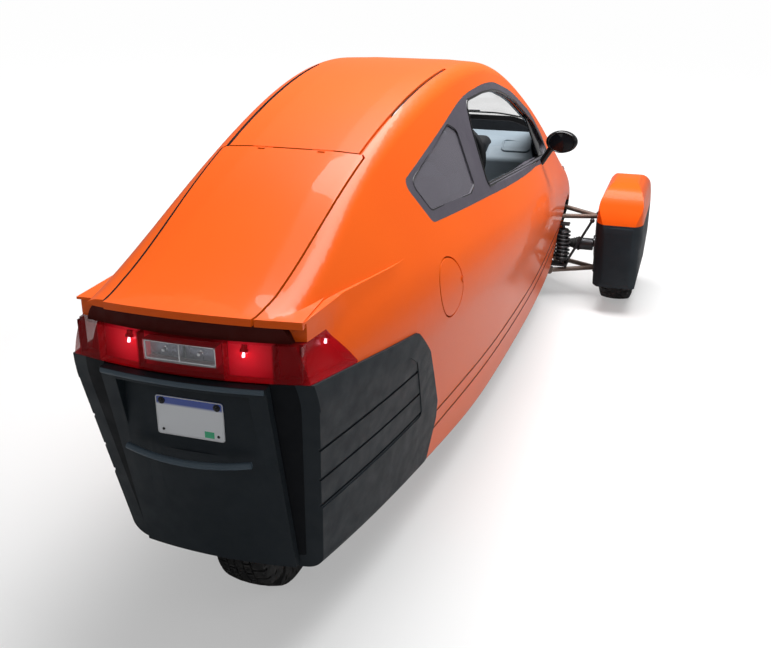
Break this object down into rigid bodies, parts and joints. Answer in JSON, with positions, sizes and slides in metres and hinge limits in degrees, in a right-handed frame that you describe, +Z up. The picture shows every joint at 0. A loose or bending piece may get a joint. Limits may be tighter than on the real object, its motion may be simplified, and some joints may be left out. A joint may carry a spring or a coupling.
{
  "type": "three wheeled car",
  "caption": "Narrow teardrop car with two front wheels on outrigger arms under pods, a single rear wheel, tandem seats, a side door and a tail hatch.",
  "frame": {"origin": "on the ground at mid length on the centre line", "axes": "+X forward, +Y left, +Z up"},
  "size_m": [4.026, 1.698, 1.3805],
  "materials": {
    "paint": "gloss orange paint",
    "cladding": "grained dark slate plastic",
    "gloss_black": "gloss black",
    "glass": "clear",
    "tinted_glass": "grey tint",
    "lens": "clear lens",
    "red_lens": "red lens",
    "plate": "white coat",
    "trim": "grained",
    "dash": "grained",
    "fabric": "woven",
    "arm": "satin coat",
    "steel": "dark coat",
    "alloy": "cast",
    "tyre": "moulded"
  },
  "bodies": {
    "chassis": {"body_shell": "paint", "underbody": "cladding", "side_claddings": "cladding", "tail_corners": "cladding", "tail_panel": "cladding", "rear_bumper": "cladding", "window_frame_right": "cladding", "quarter_frame_left": "cladding", "grille": "cladding", "mirror_right": "gloss_black", "windscreen": "glass", "quarter_glasses": "tinted_glass", "headlamps": "lens", "tail_lamp": "red_lens", "reverse_lamp": "lens", "number_plate": "plate", "dashboard": "trim", "bulkheads": "dash", "steering_column": "steel", "front_seat_frame": "dash", "front_cushion": "fabric", "front_backrest": "fabric", "rear_cushion": "fabric", "rear_backrest": "fabric", "wishbones": "arm", "suspension_struts": "steel", "front_subframe": "steel", "rack_housing": "alloy", "engine_block": "alloy", "swing_arm": "steel"},
    "door": {"door_left": "paint", "door_window_frame": "cladding", "door_glass": "glass", "door_trim": "trim", "mirror_left": "gloss_black"},
    "hatch_lid": {"hatch": "paint"},
    "hood_lid": {"hood": "paint"},
    "flap_lid": {"fuel_flap": "paint"},
    "hub_carrier_left": {"knuckle_left": "steel", "pod_top_left": "paint", "pod_skirt_left": "cladding"},
    "hub_carrier_right": {"knuckle_right": "steel", "pod_top_right": "paint", "pod_skirt_right": "cladding"},
    "wheel_left": {"front_tyre_left": "tyre", "front_rim_left": "alloy"},
    "wheel_right": {"front_tyre_right": "tyre", "front_rim_right": "alloy"},
    "wheel_rear": {"rear_tyre": "tyre", "rear_rim": "alloy"},
    "shaft_left": {"half_shaft_left": "steel"},
    "shaft_right": {"half_shaft_right": "steel"},
    "rack": {"steering_rack": "steel"},
    "steering": {"steering_wheel": "dash"}
  },
  "joints": [
    {"name": "steer_left", "type": "hinge", "parent": "chassis", "child": "hub_carrier_left", "pos_m": [1.286, 0.612, 0.29], "axis": [0, 0, 1], "range_deg": [-28, 28]},
    {"name": "steer_right", "type": "hinge", "parent": "chassis", "child": "hub_carrier_right", "pos_m": [1.286, -0.612, 0.29], "axis": [0, 0, 1], "range_deg": [-28, 28]},
    {"name": "rack_slide", "type": "slide", "parent": "chassis", "child": "rack", "axis": [0, 1, 0], "range_m": [-0.0611, 0.0611]},
    {"name": "steering_turn", "type": "hinge", "parent": "chassis", "child": "steering", "pos_m": [0.43, 0, 0.86], "axis": [-0.9336, 0, 0.3584], "range_deg": [-392, 392]},
    {"name": "spin_left", "type": "hinge", "parent": "hub_carrier_left", "child": "wheel_left", "pos_m": [1.286, 0.731, 0.275], "axis": [0, 1, 0], "continuous": true},
    {"name": "spin_right", "type": "hinge", "parent": "hub_carrier_right", "child": "wheel_right", "pos_m": [1.286, -0.731, 0.275], "axis": [0, 1, 0], "continuous": true},
    {"name": "spin_rear", "type": "hinge", "parent": "chassis", "child": "wheel_rear", "pos_m": [-1.508, 0, 0.275], "axis": [0, 1, 0], "continuous": true},
    {"name": "shaft_spin_left", "type": "hinge", "parent": "chassis", "child": "shaft_left", "pos_m": [1.286, 0.4, 0.275], "axis": [0, 1, 0], "continuous": true},
    {"name": "shaft_spin_right", "type": "hinge", "parent": "chassis", "child": "shaft_right", "pos_m": [1.286, -0.4, 0.275], "axis": [0, 1, 0], "continuous": true},
    {"name": "door_hinge", "type": "hinge", "parent": "chassis", "child": "door", "pos_m": [0.893, 0.453, 0.586], "axis": [0, 0, -1], "range_deg": [0, 62]},
    {"name": "hatch_hinge", "type": "hinge", "parent": "chassis", "child": "hatch_lid", "pos_m": [-1.293, 0, 1.241], "axis": [0, 1, 0], "range_deg": [0, 65]},
    {"name": "hood_hinge", "type": "hinge", "parent": "chassis", "child": "hood_lid", "pos_m": [1.169, 0, 0.926], "axis": [0, -1, 0], "range_deg": [0, 55]},
    {"name": "flap_hinge", "type": "hinge", "parent": "chassis", "child": "flap_lid", "pos_m": [-1.0785, -0.445, 0.838], "axis": [0, 0, 1], "range_deg": [0, 100]}
  ],
  "couplings": [
    {"joint": "steer_right", "follows": "steer_left", "ratio": 1},
    {"joint": "rack_slide", "follows": "steer_left", "m_per_rad": 0.125},
    {"joint": "steering_turn", "follows": "steer_left", "ratio": 14},
    {"joint": "shaft_spin_left", "follows": "spin_left", "ratio": 1},
    {"joint": "shaft_spin_right", "follows": "spin_right", "ratio": 1}
  ]
}
